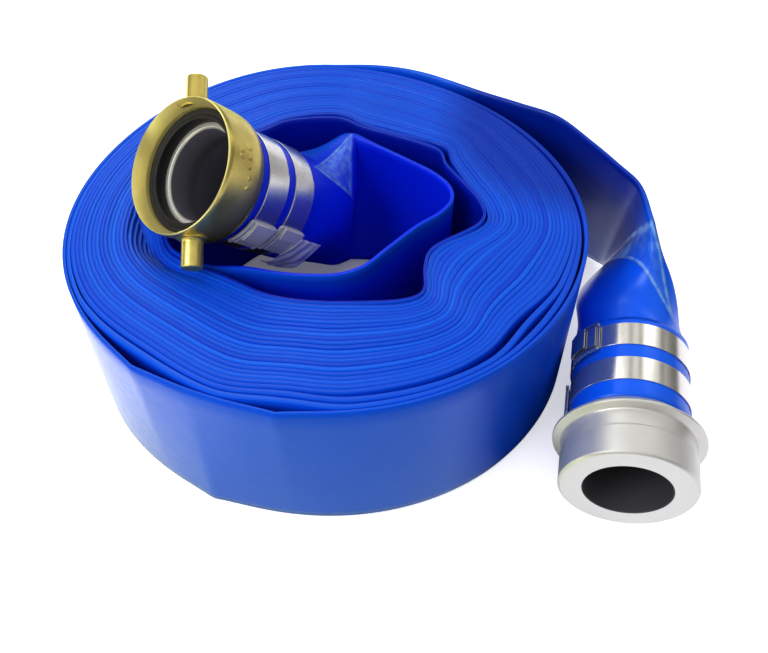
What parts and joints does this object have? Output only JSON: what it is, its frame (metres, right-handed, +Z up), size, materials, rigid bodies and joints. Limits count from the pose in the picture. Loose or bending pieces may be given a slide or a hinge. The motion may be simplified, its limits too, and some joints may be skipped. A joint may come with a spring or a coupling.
{
  "type": "discharge hose",
  "caption": "Rolled blue lay-flat discharge hose with an aluminium threaded male end, a brass pin-lug swivel female end and steel band clamps.",
  "frame": {"origin": "middle of the whole object's footprint, on the surface that it stands on", "axes": "+Z up along the axis of the roll; +X along the longest side, from the roll towards the male end; +Y away from the male end's mouth, so the male end points along -Y and a little towards -X"},
  "size_m": [0.2992, 0.2482, 0.1442],
  "materials": {
    "hose_pvc": "satin flexible PVC over a woven yarn layer, royal blue",
    "shank_aluminium": "machined aluminium casting, satin",
    "nut_brass": "cast brass, satin outside and machined at the mouth",
    "gasket_rubber": "matt black moulded rubber",
    "band_steel": "bright rolled stainless strip",
    "clear_film": "thin clear wrapping film"
  },
  "bodies": {
    "hose": {"clear_film_scrap": "clear_film", "female_band_buckle_front": "band_steel", "female_band_buckle_rear": "band_steel", "female_band_front": "band_steel", "female_band_rear": "band_steel", "female_shank": "shank_aluminium", "hose_cuff_female": "hose_pvc", "hose_cuff_male": "hose_pvc", "hose_inner_tail": "hose_pvc", "hose_outer_tail": "hose_pvc", "hose_roll": "hose_pvc", "male_band_buckle_front": "band_steel", "male_band_buckle_rear": "band_steel", "male_band_front": "band_steel", "male_band_rear": "band_steel", "male_shank": "shank_aluminium"},
    "swivel": {"swivel_nut": "nut_brass", "swivel_gasket": "gasket_rubber"}
  },
  "joints": [
    {"name": "swivel_spin", "type": "hinge", "parent": "hose", "child": "swivel", "pos_m": [-0.08988, -0.00758, 0.1225], "axis": [-0.5755, -0.4045, 0.7108], "continuous": true}
  ]
}
